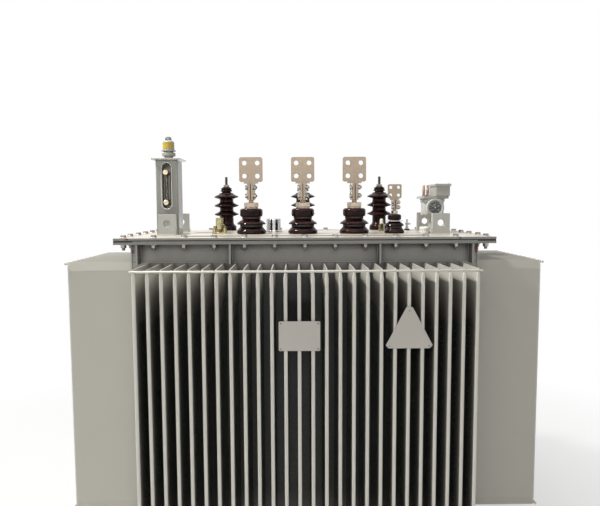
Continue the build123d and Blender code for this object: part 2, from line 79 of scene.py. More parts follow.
# Bolts through the rim and the cover
RIM_BOLT_INSET = 24
RIM_BOLT_END_INSET = 30
RIM_BOLT_GAPS_LONG = 12
RIM_BOLT_GAPS_SHORT = 6
RIM_BOLT = {
    "across": 18, "head": 7.5, "nut": 10, "washer": 2.5, "washer_radius": 12.5,
    "thread": 6, "pitch": 1.75, "tail": 9,
}
THREAD_LAP = 1

# Low-voltage bushings and their terminals
LV_PROFILE = [
    (54, 0, 3), (58, 6, 5), (56.5, 12, 6), (46, 24, 3), (43, 27, 2), (43, 36, 1), (53.5, 36, 2),
    (56, 39, 3), (51, 45, 8), (38, 53, 6), (33, 58, 2), (33, 66, 1), (41, 66, 3), (44, 71, 5), (44, 92, 6),
    (38, 98, 4),
]
LV_NECK_SEAL = (36, 58, 66, 0.8)
# Black ring filling the groove under the skirt: painted shade
LV_GROOVE_SHADE_RING = (44, 27.4, 35.6, 0.8)
LV_STUD = {"radius": 10, "length": 95.5, "pitch": 2.5, "across": 48, "nut": 19, "washer": 4}
LV_CLAMP = {"height": 64, "ear_reach": 18, "half_grip": 9, "half_tan": 9.2}
LV_CLAMP_BOLT = {
    "across": 16, "head": 7, "nut": 8, "washer": 2, "washer_radius": 10, "spring": 2.5,
    "spring_radius": 8.25, "thread": 5, "pitch": 1.25, "tail": 4,
}
CLAMP_BOLT_SHARES = (0.25, 0.75)

# Neutral bushing and its terminal
NEUTRAL_PROFILE = [
    (36.5, 0, 2), (39, 5, 4), (37.5, 11, 4), (29.5, 21, 2), (28, 28, 1), (35, 28, 1.5), (37, 31, 2),
    (32.5, 38, 5), (21, 45, 3), (19.5, 52, 1), (24.5, 52, 1.5), (26, 56, 3), (26, 69, 4), (21, 74, 3),
]
NEUTRAL_RING = (33, 46.5, 49, 0.8)
# Black ring filling the groove under the skirt: painted shade
NEUTRAL_GROOVE_SHADE_RING = (29.3, 22, 27.6, 0.8)
NEUTRAL_STUD = {"radius": 6, "length": 54.5, "pitch": 1.5, "across": 22, "nut": 11, "washer": 3}
NEUTRAL_CLAMP = {"height": 38, "ear_reach": 12, "half_grip": 6.25, "half_tan": 6.4}
NEUTRAL_CLAMP_BOLT = {
    "across": 13, "head": 5.3, "nut": 6.5, "washer": 1.6, "washer_radius": 8, "spring": 2,
    "spring_radius": 6.75, "thread": 4, "pitch": 1.25, "tail": 3,
}

# High-voltage bushings; a shed's heights count from its level
HV_BASE_PROFILE = [
    (41, 0, 2), (43, 6, 4), (42, 20, 6), (33, 27, 5), (30, 34, 4),
]
HV_SHED_LEVELS = (68, 106.5, 145)
HV_SHED_PROFILE = [
    (30, -8, 3), (35, -6, 3), (50.5, -1, 2.5), (54, 1.5, 2.5), (53.5, 5.5, 3), (43.5, 11, 6), (33, 16, 5),
    (30, 20, 3),
]
HV_CAP_PROFILE = [
    (27, 166, 2), (20, 168, 1.5), (20, 171, 1), (25.5, 172, 1.5), (26, 178, 2.5), (21, 181, 1),
    (24, 183, 1), (24, 187.5, 2), (17, 189, 1), (17, 192, 1.5),
]
HV_POST = (6, 0, 44.5, 1.75)
HV_WASHER = (13, 0, 3)
HV_NUT = (21, 3, 10)

# Weld beads, by their radius, with their lift over a face and how far they stop short of an end
COLLAR_WELD = 2
COLLAR_WELD_LIFT = 3
COLLAR_WELD_STAND = 0.6
COLLAR_WELD_INSET = 4
COLLAR_SEEDS = (11, 21)
FOOT_SEED = 31
FOOT_WELD_LIFT = 0.8
LUG_WELD = 2.6
LUG_WELD_HALF = 33
LUG_WELD_INSET = 1
LUG_THICKNESS = 14
GAUGE_WELD = 2.4
GAUGE_WELD_INSET = 3
GAUGE_DEPTH = 90
GUSSET_WELD = 2
GUSSET_WELD_INSET = 2
GUSSET_HALF = 3.5
GUSSET_PLACES = (-595, -266, 266, 595)
CORNER_WELD = 3.2
CORNER_WELD_DROP = 60

# Oil gauge
WINDOW_HALF_WIDTH = 20
WINDOW_STRAIGHT = 71.5
WINDOW_LEVEL = 192
WINDOW_STEPS = 12
WINDOW_BEAD = 2.2
WINDOW_BEAD_SINK = 0.6
FITTING_NECK_INSET = 2
FITTING_NECK = 7
FITTING_HEAD = 8
FITTING_SLOT = 2.5
FITTING_CROWN = 2.6
FITTING_CROWN_INSET = 0.6
FITTING_SLOT_HALF = 1.1
FITTING_SLANTS = (35, -20)
TUBE_END = [(4.8, 0.2), (6.3, 0), (6.5, 0.4)]
SCALE_HALF_WIDTH = 13
SCALE_FRONT = 8
SCALE_BACK = 9.5
SCALE_EDGE = 0.4

# Relief valve
VALVE_PROFILE = [
    (17.5, 0, 0.5), (17.5, 12, 0.5), (27, 12, 2), (27, 25, 2), (20, 25.5, 0.5), (20, 31, 0.5),
    (23, 35, 0.5), (23, 67, 3), (16, 73, 2), (12, 74.5, 0.5),
]
VALVE_CAP = (12.6, 73.5, 84, 1.5)
VALVE_HEX = (17, 80, 88)
VALVE_RING = (29, 31, 35, 1.2)
LABEL_BACK = 22.8
LABEL_FACE = 23.25
LABEL_LEVEL = 52.5
LABEL_HALF_HEIGHT = 14
LABEL_HALF_ANGLE = 67
LABEL_SHARES = (0.2, 0.4, 0.6, 0.8, 1)
LABEL_STEPS = 40

# Protection relay
RELAY_PROFILE = [
    (14, 0, 0.5), (14, 47, 5), (46, 74, 7), (46, 127, 0.5),
]
RELAY_COLLAR = (50, 126, 137.9, 0.8)
FLANGE_HEIGHT = 6
RELAY_FLANGE = (27, 0, FLANGE_HEIGHT, 1)
FLANGE_BOLT_ANGLES = (30, 150, 270)
FLANGE_BOLT_REACH = 20
FLANGE_WASHER = (5.5, 0, 1.2)
FLANGE_HEX = (9, 1.2, 6)
BOX_SCREW = (3.6, 0, 2.4, 1)
BOX_SCREW_INSET = 9
GLAND_INSET = 7.5
GLAND_NUT = (13, 0, 8)
GLAND_THREAD = (5, 7, 14, 1.2)
GLAND_PROFILE = [
    (5.6, 13, 0.8), (5.6, 30, 1), (4.4, 33, 1), (4.4, 47, 1.6),
]

# Dial of the relay, with angles in degrees
DIAL_PROFILE = [
    (26, 0, 2), (28, 6, 3), (35, 15, 4), (35, 34, 2.5), (29, 34, 2.5), (24, 30, 1.5), (23.5, 28, 0.5),
]
DIAL_LEVEL = 28.3
DIAL_FACE = (23.5, DIAL_LEVEL - 1, DIAL_LEVEL, 0.3)
DIAL_HUB = (2.6, DIAL_LEVEL, DIAL_LEVEL + 2.2, 0.4)
DIAL_GLASS = (23, 31.5, 32.3, 0.2)
DIAL_START = -40
DIAL_SWEEP = 260
TICK_GAPS = 12
TICK_REACH = 22
LONG_TICK_START = 16.5
SHORT_TICK_START = 18.5
TICK_HALF = 0.6
TICK_HEIGHT = 0.4
TICK_EDGE = 0.1
FIGURE_EVERY = 3
FIGURE_STEP = 10
FIGURE_REACH = 12
FIGURE_SIZE = 6.5
FIGURE_HEIGHT = 0.2
NEEDLE_ANGLE = 118
NEEDLE = ((-4, -0.7, DIAL_LEVEL + 0.8), (16, 0.7, DIAL_LEVEL + 1.5), 0.2)

# Small fittings on the cover
POCKET_FLANGE = ((-28, -14, 0), (28, 14, 5), 1.2)
POCKET_CAP = (26, 16, 62)
POCKET_THREAD = (10.5, 4, 17, 1.8)
POCKET_BOLT_REACH = 20
POCKET_WASHER = (8.5, 0, 1.6)
POCKET_NUT = (14, 1.6, 17)
POCKET_STUD = (4.5, 16, 25, 1.25)
FILLER_FOOT = (12.5, 0, 3)
FILLER_HEX = (22, 3, 32)
FILLER_NECK = (7.8, 31.5, 37, 0.8)
FILLER_CAP = (6.6, 37, 52, 1.6)
CHANGER_PROFILE = [
    (36, 0, 1), (36, 7, 1.2), (30, 7, 0.5), (29, 9, 1), (29, 56, 5),
]
# (radius, height, share of the rib depth)
PLUG_PROFILE = [
    (19.5, 0, 0), (20.5, 1, 0.5), (20.5, 11, 0.5), (19.5, 12, 0), (17, 12.2, 0), (17, 14, 0), (21, 14.5, 0),
    (21, 22, 0.5), (17, 26, 0), (5, 27, 0),
]
PLUG_RIB_DEPTH = 1
PLUG_TURNS = 96
BLEED_PROFILE = [
    (7, 6, 0.6), (7, 18, 1), (5.5, 19, 0.5), (5.5, 23, 0.5), (8, 24, 1), (8, 35, 1), (4.5, 37, 1),
    (4.5, 50, 1.6),
]
BLEED_FOOT = (12, 0, 7, 1.2)
BLEED_KNOB_LEVEL = 29
BLEED_PIN = (2.6, 5, 11)
BLEED_KNOB = (4, 10, 16, 1)

# Rivets of the plates, dabs of paint and the gasket's edges; a dab ends with its seed
RIVET = (2.6, 0, 1.3, 0.7)
RATING_RIVET_INSET = 7
WARNING_RIVET_INSET = 12
WARNING_RIVET_LIFT = 8
COLLAR_DABS = ((-620, 1157, 4, 7, 1), (618, 1162, 5.5, 13, 2))
COVER_DABS = ((-626, 6.5, 3), (547, 6, 4))
COVER_DAB_HALF = 2.6
COVER_DAB_DROP = 4
GASKET_CORNER = 66
GASKET_END_INSET = 1
GASKET_LAP = 3
GASKET_SHOW = 0.3
GASKET_DROP = 2
GASKET_PLAY = 0.2
GASKET_EDGE = 0.6
STOP_HEIGHT = 2.2
STOP_EDGE = 0.5


def box_mm(node):
    """Lowest and highest corner of a CAD node in millimetres."""
    low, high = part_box(node)
    return low / MM, high / MM


def foot(node):
    """Middle of a CAD node's underside in millimetres."""
    low, high = box_mm(node)
    return Vector(((low.x + high.x) / 2, (low.y + high.y) / 2, low.z))


def at(x, y, z):
    """Place of a shape."""
    return Matrix.Translation(Vector((x, y, z)))


def crown(node):
    """Place at the middle of a CAD node's top."""
    middle = foot(node)
    return at(middle.x, middle.y, box_mm(node)[1].z)


def turn(angle, axis):
    """Turn of a shape by degrees."""
    return Matrix.Rotation(radians(angle), 4, axis)


FRONTWARD = turn(90, "X")
RIGHTWARD = turn(90, "Y")
LEFTWARD = turn(-90, "Y")
DOWNWARD = turn(180, "X")


class Form:
    """Points and faces of one piece, gathered from simple shapes."""

    def __init__(self):
        self.points = []
        self.faces = []

    def add(self, shape, place=Matrix()):
        """Take in a shape at a place."""
        points, faces = shape
        start = len(self.points)
        self.points += [place @ Vector(point) for point in points]
        self.faces += [[start + i for i in face] for face in faces]
        return self


def ring(radius, height, count):
    """Points round Z."""
    angles = [2 * pi * i / count for i in range(count)]
    return [(radius * cos(angle), radius * sin(angle), height) for angle in angles]


def stack(rings, endless=False):
    """Skin over rings of as many points each, closed at both ends, or with the last joined to the first."""
    count = len(rings[0])
    points = [point for one in rings for point in one]
    faces = []
    for level in range(len(rings) - (not endless)):
        low = level * count
        high = (level + 1) % len(rings) * count
        for i in range(count):
            j = (i + 1) % count
            faces.append((low + i, low + j, high + j, high + i))
    if not endless:
        faces.append(tuple(reversed(range(count))))
        faces.append(tuple(range(len(points) - count, len(points))))
    return points, faces


def rounded(corners):
    """Profile from the axis through corners and back, each rounded as far as its neighbours allow."""
    flat = [Vector((radius, height)) for radius, height, rounding in corners]
    flat = [Vector((0, flat[0].y)), *flat, Vector((0, flat[-1].y))]
    line = [flat[0]]
    for before, corner, after, given in zip(flat, flat[1:], flat[2:], corners):
        back = before - corner
        ahead = after - corner
        reach = min(given[2], 0.45 * back.length, 0.45 * ahead.length)
        start = corner + back.normalized() * reach
        end = corner + ahead.normalized() * reach
        for step in range(ROUND_STEPS + 1):
            t = step / ROUND_STEPS
            line.append(start * (1 - t) ** 2 + corner * 2 * t * (1 - t) + end * t ** 2)
    line.append(flat[-1])
    return [(point.x, point.y) for point in line]


def lathe(profile, count=TURNS):
    """Body of revolution about Z through points (radius, height) from the bottom up."""
    least = 0.01
    return stack([ring(max(radius, least), height, count) for radius, height in profile])


def disc(radius, low, high, edge=0.5, count=SMALL_TURNS):
    """Round plate or pin with softened edges."""
    inner = radius - edge
    return lathe([(inner, low), (radius, low + edge), (radius, high - edge), (inner, high)], count)


def hexagon(across, low, high):
    """Nut or bolt head with chamfered corners."""
    corner = across / sqrt(3)
    cut = 0.07 * across
    levels = [(corner - cut, low), (corner, low + cut / 2), (corner, high - cut / 2), (corner - cut, high)]
    return stack([ring(radius, height, 6) for radius, height in levels])


def thread(radius, low, high, pitch):
    """Threaded rod as a close row of grooves."""
    count = int((high - low) / pitch)
    profile = [(radius - pitch / 2, low)]
    for i in range(count):
        level = low + i * pitch
        profile.append((radius, level + pitch * 0.4))
        profile.append((radius, level + pitch * 0.6))
        profile.append((radius - pitch * 0.45, level + pitch))
    profile.append((radius - pitch, high))
    return lathe(profile, SMALL_TURNS)


def slab(low, high, edge):
    """Block between two corners with its edges bevelled."""
    low = Vector(low)
    high = Vector(high)
    middle = (low + high) / 2
    half = (high - low) / 2
    rings = []
    for height, inset in ((-half.z, edge), (-half.z + edge, 0), (half.z - edge, 0), (half.z, edge)):
        x = half.x - inset
        y = half.y - inset
        right = [(x, -y + edge), (x, y - edge), (x - edge, y)]
        left = [(-x + edge, y), (-x, y - edge), (-x, -y + edge)]
        outline = right + left + [(-x + edge, -y), (x - edge, -y)]
        rings.append([(middle.x + a, middle.y + b, middle.z + height) for a, b in outline])
    return stack(rings)


def bead(start, end, radius, seed):
    """Weld bead between two points, with the ripples of its run."""
    draw = Random(seed)
    start = Vector(start)
    end = Vector(end)
    run = end - start
    steps = max(4, int(run.length / (radius * 1.1)))
    heading = run.to_track_quat("Z", "Y").to_matrix()
    rings = []
    for step in range(steps + 1):
        swell = radius * (0.86 + 0.14 * (step % 2) + draw.uniform(-0.08, 0.08))
        if step in (0, steps):
            swell *= 0.45
        middle = start + run * (step / steps)
        rings.append([middle + heading @ Vector(point) for point in ring(swell, 0, BEAD_TURNS)])
    return stack(rings)


def hoop(line, radius):
    """Round bead along a closed line in the XZ plane."""
    rings = []
    count = len(line)
    outward = Vector((0, 1, 0))
    for i, point in enumerate(line):
        along = (line[(i + 1) % count] - line[i - 1]).normalized()
        side = outward.cross(along)
        rings.append([point + side * x + outward * y for x, y, z in ring(radius, 0, HOOP_TURNS)])
    return stack(rings, endless=True)


def half_moon(radius, gap, low, high, side):
    """Half of a slotted screw head."""
    start = asin(gap / radius)
    outline = []
    for step in range(MOON_STEPS + 1):
        angle = start + (pi - 2 * start) * step / MOON_STEPS
        outline.append((radius * cos(angle), side * radius * sin(angle)))
    if side < 0:
        outline.reverse()
    crest = [(x * 0.93, side * max(abs(y) * 0.93, gap)) for x, y in outline]
    levels = ((outline, low), (outline, high - 0.6), (crest, high))
    return stack([[(x, y, level) for x, y in line] for line, level in levels])


def ribbed(profile, depth, count):
    """Turned cap through (radius, height, rib share), with grip ribs where the share is not 0."""
    rings = []
    for radius, height, share in profile:
        outline = []
        for i, (x, y, z) in enumerate(ring(1, height, count)):
            reach = radius - depth * share * (i % 4 > 1)
            outline.append((x * reach, y * reach, z))
        rings.append(outline)
    return stack(rings)


def dab(half_x, half_y, seed):
    """Thin uneven dab of paint facing +Z."""
    draw = Random(seed)
    reaches = [draw.uniform(0.8, 1.1) for i in range(DAB_TURNS)]
    circle = ring(1, 0, DAB_TURNS)
    outline = [(x * reach * half_x, y * reach * half_y) for (x, y, z), reach in zip(circle, reaches)]
    return stack([[(x, y, 0) for x, y in outline], [(x * 0.94, y * 0.94, 0.4) for x, y in outline]])


def digits(text):
    """Raised figures facing +Z, centred."""
    curve = bpy.data.curves.new("digits", "FONT")
    curve.body = text
    curve.size = FIGURE_SIZE
    curve.extrude = FIGURE_HEIGHT
    curve.align_x = "CENTER"
    curve.align_y = "CENTER"
    pen = bpy.data.objects.new("digits", curve)
    mesh = pen.to_mesh()
    shape = [tuple(point.co) for point in mesh.vertices], [tuple(face.vertices) for face in mesh.polygons]
    pen.to_mesh_clear()
    bpy.data.objects.remove(pen)
    bpy.data.curves.remove(curve)
    return shape


def turned(profile, spot, count=TURNS):
    """Form turned from a profile at a place."""
    return Form().add(lathe(rounded(profile), count), spot)


def discs(spot, *sizes):
    """Form of wide discs at a place."""
    form = Form()
    for size in sizes:
        form.add(disc(*size, TURNS), spot)
    return form


def piece(name, form, look, stands_for=()):
    """Mesh object of a form, riding on the frame."""
    mesh = bpy.data.meshes.new(name)
    mesh.from_pydata([point * MM for point in form.points], [], form.faces)
    mesh.update()
    mesh.shade_smooth()
    mesh.set_sharp_from_angle(angle=radians(CREASE))
    mesh.materials.append(look)
    made = bpy.data.objects.new(name, mesh)
    bpy.context.scene.collection.objects.link(made)
    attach(made, "root")
    if stands_for:
        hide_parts(*stands_for)


def soften(node, width):
    """Soft edges on a CAD node, by modifiers that leave its own mesh alone."""
    weld = nodes[node].modifiers.new("weld", "WELD")
    weld.merge_threshold = MERGE_REACH * MM
    bevel = nodes[node].modifiers.new("bevel", "BEVEL")
    bevel.width = width * MM
    bevel.segments = BEVEL_SEGMENTS
    bevel.limit_method = "ANGLE"
    bevel.angle_limit = radians(BEVEL_LIMIT)
    bevel.harden_normals = True


def wear(node, look):
    """Give a CAD node its finish."""
    mesh = nodes[node].data
    mesh.materials.clear()
    mesh.materials.append(look)


# Finishes
def shader_node(tree, kind, inputs=None, output=0, **settings):
    """One output of a new node, whose inputs are set, or linked where they are given as sockets."""
    made = tree.nodes.new("ShaderNode" + kind)
    for name, value in settings.items():
        setattr(made, name, value)
    for socket, value in (inputs or {}).items():
        if isinstance(value, bpy.types.NodeSocket):
            tree.links.new(value, made.inputs[socket])
        else:
            made.inputs[socket].default_value = value
    return made.outputs[output]


def colour_ramp(tree, value, stops):
    """Colours along a value, from two stops."""
    node = tree.nodes.new("ShaderNodeValToRGB")
    for element, (position, colour) in zip(node.color_ramp.elements, stops):
        element.position = position
        element.color = (*colour, 1)
    tree.links.new(value, node.inputs["Fac"])
    return node.outputs["Color"]


def shade(colour, share):
    """A colour made lighter or darker."""
    return tuple(channel * share for channel in colour)


# Materials by their names
looks = {}


class Look:
    """Node material with a principled shader, and short calls for the nodes it needs."""

    def __init__(self, name, metallic=0, specular=0.5):
        self.material = bpy.data.materials.new(name)
        looks[name] = self.material
        self.material.use_nodes = True
        self.tree = self.material.node_tree
        self.shader = self.tree.nodes["Principled BSDF"]
        self.set("Metallic", metallic)
        self.set("Specular IOR Level", specular)
        self.place = self.node("TexCoord", output="Object")

    def node(self, kind, inputs=None, output=0, **settings):
        """Output of a new node."""
        return shader_node(self.tree, kind, inputs, output, **settings)

    def set(self, socket, value):
        """Constant on the shader."""
        self.shader.inputs[socket].default_value = value

    def link(self, output, socket):
        """Join an output to the shader."""
        self.tree.links.new(output, self.shader.inputs[socket])

    def noise(self, scale, detail=3, stretch=(1, 1, 1)):
        """Noise in the frame's metres, about 0.5."""
        place = self.node("Mapping", {"Vector": self.place, "Scale": stretch})
        return self.node("TexNoise", {"Vector": place, "Scale": scale, "Detail": detail}, "Fac")

    def along(self, axis):
        """Place along an axis in the frame's metres."""
        return self.node("SeparateXYZ", {"Vector": self.place}, axis)

    def away(self, axis, middle, low, high):
        """0 up to a distance from a middle plane in metres, 1 beyond another."""
        shift = self.both(self.along(axis), middle, "SUBTRACT")
        return self.span(self.node("Math", {0: shift}, operation="ABSOLUTE"), low, high, 0, 1)

    def both(self, first, second, operation="MULTIPLY"):
        """Two values as one."""
        return self.node("Math", {0: first, 1: second}, operation=operation)

    def span(self, value, from_low, from_high, low, high):
        """A value carried from one range to another and held inside it."""
        ends = {"From Min": from_low, "From Max": from_high, "To Min": low, "To Max": high}
        return self.node("MapRange", {"Value": value, **ends}, "Result")

    def mottle(self, colour, noise, darker, lighter, reach=0.2):
        """A colour that drifts between two shades of itself with a noise."""
        stops = [(0.5 - reach, shade(colour, darker)), (0.5 + reach, shade(colour, lighter))]
        return colour_ramp(self.tree, noise, stops)

    def blend(self, share, first, second):
        """A colour that goes over into a plain one by a share."""
        return self.node("Mix", {0: share, 6: first, 7: (*second, 1)}, 2, data_type="RGBA")

    def shelter(self, reach):
        """0 deep in a gap, 1 in the open, by what stands within a reach in metres."""
        return self.node("AmbientOcclusion", {"Distance": reach}, "AO", samples=8)

    def roughness(self, noise, low, high):
        """Roughness that drifts between two values with a noise."""
        self.link(self.span(noise, 0.3, 0.7, low, high), "Roughness")

    def bumps(self, *layers):
        """Relief from (height, strength, depth in mm), the first under the next."""
        normal = None
        for height, strength, depth in layers:
            inputs = {"Strength": strength, "Distance": depth * MM, "Height": height}
            if normal:
                inputs["Normal"] = normal
            normal = self.node("Bump", inputs, "Normal")
        self.link(normal, "Normal")


TANK_COLOUR = (0.45, 0.437, 0.392)
# Paler colour along the fin noses: painted highlight
NOSE_HIGHLIGHT_COLOUR = (0.62, 0.605, 0.56)
PALM_COLOUR = (0.255, 0.207, 0.16)
SLEEVE_COLOUR = (0.56, 0.55, 0.53)
DUST_COLOUR = (0.36, 0.33, 0.28)
# Share of the paint colour kept in the painted shade of gaps and recesses
GAP_SHADE_TONE = 0.06
GLOSS_DRIFT = 0.03
LENGTHWISE = (1, 1, 14)
CROSSWISE = (14, 14, 1)


def enamel(name, colour, gloss=0.24, dust=0.02, gap_shade=0.7, specular=0.5, other=None, shade_mask=None):
    """Sprayed enamel on sheet: faint tone drift, dust, painted shade darkening the gaps, orange peel and
    slight waves.

    other(look) may give a share and a second colour, for painted shade on edges, painted highlights on noses
    and painted light behind an eye, and shade_mask(look) where the painted shade of the gaps lies.
    """
    look = Look(name, specular=specular)
    tone = look.mottle(colour, look.noise(1.7, 4), 0.985, 1.015, 0.18)
    if other:
        share, second = other(look)
        tone = look.blend(share, tone, second)
    film = look.span(look.noise(23, 6), 0.5, 0.72, 0, dust)
    tone = look.blend(film, tone, DUST_COLOUR)
    # Painted shade: the colour goes nearly black where ambient occlusion finds a gap or recess
    gap_shade_share = look.span(look.shelter(0.12), 0.1, 0.6, gap_shade, 0)
    if shade_mask:
        gap_shade_share = look.both(gap_shade_share, shade_mask(look))
    look.link(look.blend(gap_shade_share, tone, shade(colour, GAP_SHADE_TONE)), "Base Color")
    look.roughness(look.noise(11, 4), gloss - GLOSS_DRIFT, gloss + GLOSS_DRIFT)
    look.bumps((look.noise(3, 1), 0.05, 2), (look.noise(330, 2), 0.05, 0.3))
    return look.material


def fin_enamel(name, colour, axis, nose, top):
    """Enamel of the fins, with painted highlights along their noses and their painted gap shade fading out
    near their tops.
    """
    # Painted highlight: paler colour on the last millimetres of each nose
    def nose_highlight(look):
        return look.away(axis, 0, nose - 7 * MM, nose - 2 * MM), NOSE_HIGHLIGHT_COLOUR

    # Painted shade in the fin gaps: full lower down, down to a tenth near the tops, where light falls in from
    # above
    def shade_mask(look):
        return look.span(look.along("Z"), top - 200 * MM, top - 30 * MM, 1, 0.1)

    return enamel(name, colour, gap_shade=0.97, other=nose_highlight, shade_mask=shade_mask)


def cover_enamel(name, colour, edge_shade_colour):
    """Enamel of the cover, with painted shade on its edges."""
    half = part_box("tank_cover")[1]

    # Painted shade: the darker colour on the cover's outer faces
    def edges(look):
        long_edge = look.away("Y", 0, half.y - 1.2 * MM, half.y - 0.6 * MM)
        short_edge = look.away("X", 0, half.x - 1.2 * MM, half.x - 0.6 * MM)
        return look.both(long_edge, short_edge, "MAXIMUM"), edge_shade_colour

    return enamel(name, colour, 0.32, 0.1, other=edges)


def gauge_enamel(name, colour, eye_light_colour):
    """Enamel of the gauge column, with painted light behind the eye of the lug that stands before it, where
    the lug shades it, and no painted shade in its gaps.
    """
    mounts = frame["record"]["mounts"]
    eye = next(mount["pos_m"] for mount in mounts if mount["name"] == "lug_front_left")
    low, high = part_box("gauge_column")
    depth = (low.y + high.y) / 2
    start = 22 * MM
    end = 30 * MM
    fade = 10 * MM

    # Painted light: paler colour on the column's face behind the lug's eye
    def lit_behind_eye(look):
        outside = look.both(look.away("X", eye[0], start, end), look.away("Z", eye[2], start, end), "MAXIMUM")
        inside = look.span(outside, 0, 1, 1, 0)
        front = look.span(look.along("Y"), depth - fade, depth + fade, 1, 0)
        return look.both(inside, front), eye_light_colour

    return enamel(name, colour, gap_shade=0, other=lit_behind_eye)


def terminal_metal(node, clamp):
    """Dull tan palm and ears with a bright sleeve, told apart by their places."""
    low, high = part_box(node)
    half = clamp["half_tan"] * MM
    top = low.z + clamp["height"] * MM
    look = Look(node, 1)
    tone = look.mottle(PALM_COLOUR, look.noise(90, 5), 0.92, 1.08)
    beside = look.away("X", (low.x + high.x) / 2, half, half + 0.4 * MM)
    below = look.span(look.along("Z"), top - 0.6 * MM, top - 0.2 * MM, 1, 0)
    look.link(look.blend(look.both(beside, below), tone, SLEEVE_COLOUR), "Base Color")
    look.roughness(look.noise(150, 4, LENGTHWISE), 0.3, 0.52)
    look.bumps((look.noise(420, 3, LENGTHWISE), 0.08, 0.25))
    return look.material


def glaze(name, colour):
    """Dark glaze with a redder bloom where it runs thin."""
    look = Look(name, specular=0.15)
    look.link(look.mottle(colour, look.noise(55, 4), 0.55, 1.5, 0.15), "Base Color")
    look.roughness(look.noise(40, 2), 0.04, 0.11)
    look.bumps((look.noise(38, 1), 0.18, 0.6))
    return look.material


def metal(name, colour, roughness, brushed=(1, 1, 1), mottle=0.12):
    """Bare or plated metal with tool marks and tarnish."""
    look = Look(name, 1)
    look.link(look.mottle(colour, look.noise(90, 5), 1 - mottle, 1 + mottle), "Base Color")
    look.roughness(look.noise(150, 4, brushed), roughness * 0.8, roughness * 1.3)
    look.bumps((look.noise(420, 3, brushed), 0.08, 0.25))
    return look.material


def moulded(name, colour, roughness):
    """Moulded plastic or rubber with a fine grain."""
    look = Look(name)
    look.link(look.mottle(colour, look.noise(9, 4), 0.9, 1.06), "Base Color")
    look.roughness(look.noise(60, 3), roughness * 0.85, roughness * 1.15)
    look.bumps((look.noise(500, 2), 0.1, 0.2))
    return look.material


def clear_glass(name, tint):
    """Glass with a faint smear."""
    look = Look(name)
    look.link(look.mottle(tint, look.noise(14), 0.95, 1.03), "Base Color")
    look.link(look.span(look.noise(70), 0.4, 0.8, 0.01, 0.07), "Roughness")
    look.set("Transmission Weight", 1)
    look.set("IOR", 1.47)
    look.bumps((look.noise(30), 0.03, 0.2))
    return look.material


tank_paint = enamel("tank_paint", TANK_COLOUR)
# Tie rods in a paler copy of the tank paint: painted light
rod_paint = enamel("rod_paint", (0.57, 0.555, 0.505))
lug_paint = enamel("lug_paint", (0.45, 0.455, 0.428))
# The cover's edge faces take a dark painted shade
cover_paint = cover_enamel("cover_paint", (0.45, 0.416, 0.362), (0.25, 0.248, 0.235))
# Collar walls and rim in a darker, cooler grey than the tank paint; part of their darkness is painted shade
# under the cover's overhang
wall_paint = enamel("wall_paint", (0.365, 0.365, 0.35), 0.15, gap_shade=0.96, specular=0.2)
rim_paint = enamel("rim_paint", (0.225, 0.225, 0.213), 0.32)
# Pale painted light on the column behind the lug's eye
gauge_paint = gauge_enamel("gauge_paint", (0.285, 0.285, 0.262), (0.66, 0.65, 0.61))
enamel("plate_paint", (0.485, 0.465, 0.43), 0.32)
enamel("relay_paint", (0.36, 0.36, 0.33), 0.34, gap_shade=0.4)
valve_paint = enamel("valve_paint", (0.36, 0.36, 0.335), 0.34, gap_shade=0.4)
fin_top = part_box("front_fins")[1].z
long_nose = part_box("rear_fins")[1].y
end_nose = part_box("right_fins")[1].x
# Front and rear fins in a copy of the tank paint 8 % lighter than the end fins: painted light
long_side_fins = fin_enamel("long_side_fins", shade(TANK_COLOUR, 1.08), "Y", long_nose, fin_top)
end_fins = fin_enamel("end_fins", TANK_COLOUR, "X", end_nose, fin_top)
porcelain = glaze("porcelain", (0.016, 0.0048, 0.0044))
rubber = moulded("gasket_rubber", (0.012, 0.012, 0.012), 0.55)
brass = metal("brass", (0.56, 0.47, 0.34), 0.36)
nut_tan = metal("nut_tan", (0.5, 0.405, 0.32), 0.2)
post_tan = metal("post_tan", (0.26, 0.215, 0.175), 0.36)
dark_steel = metal("dark_steel", (0.13, 0.13, 0.135), 0.4)
bolt_zinc = metal("bolt_zinc", (0.33, 0.3, 0.265), 0.36, mottle=0.35)
washer_zinc = metal("washer_zinc", (0.62, 0.615, 0.6), 0.42)
yellow_zinc = metal("yellow_zinc", (0.42, 0.385, 0.2), 0.2, mottle=0.3)
dark_metal = metal("dark_metal", (0.2, 0.2, 0.195), 0.36)
chrome = metal("bright_metal", (0.6, 0.59, 0.585), 0.09, CROSSWISE, 0.05)
copper = metal("gland_brass", (0.38, 0.25, 0.19), 0.36)
cream_plastic = moulded("cream_plastic", (0.46, 0.47, 0.435), 0.34)
cool_plastic = moulded("cool_plastic", (0.58, 0.59, 0.62), 0.34)
pale_plastic = moulded("pale_plastic", (0.6, 0.6, 0.56), 0.34)
back_plastic = moulded("back_plastic", (0.3, 0.285, 0.26), 0.5)
white_plastic = moulded("white_plastic", (0.8, 0.79, 0.75), 0.34)
dial_plastic = moulded("dial_case", (0.44, 0.445, 0.42), 0.36)
dark_face = moulded("dial_face", (0.012, 0.013, 0.012), 0.6)
tick_white = moulded("dial_ticks", (0.75, 0.75, 0.7), 0.6)
label_yellow = moulded("label_yellow", (0.5, 0.365, 0.03), 0.34)
red_mark = moulded("red_mark", (0.17, 0.022, 0.018), 0.5)
glass = clear_glass("sight_glass", (0.92, 0.94, 0.92))
smoky_glass = clear_glass("tube_glass", (0.74, 0.72, 0.7))

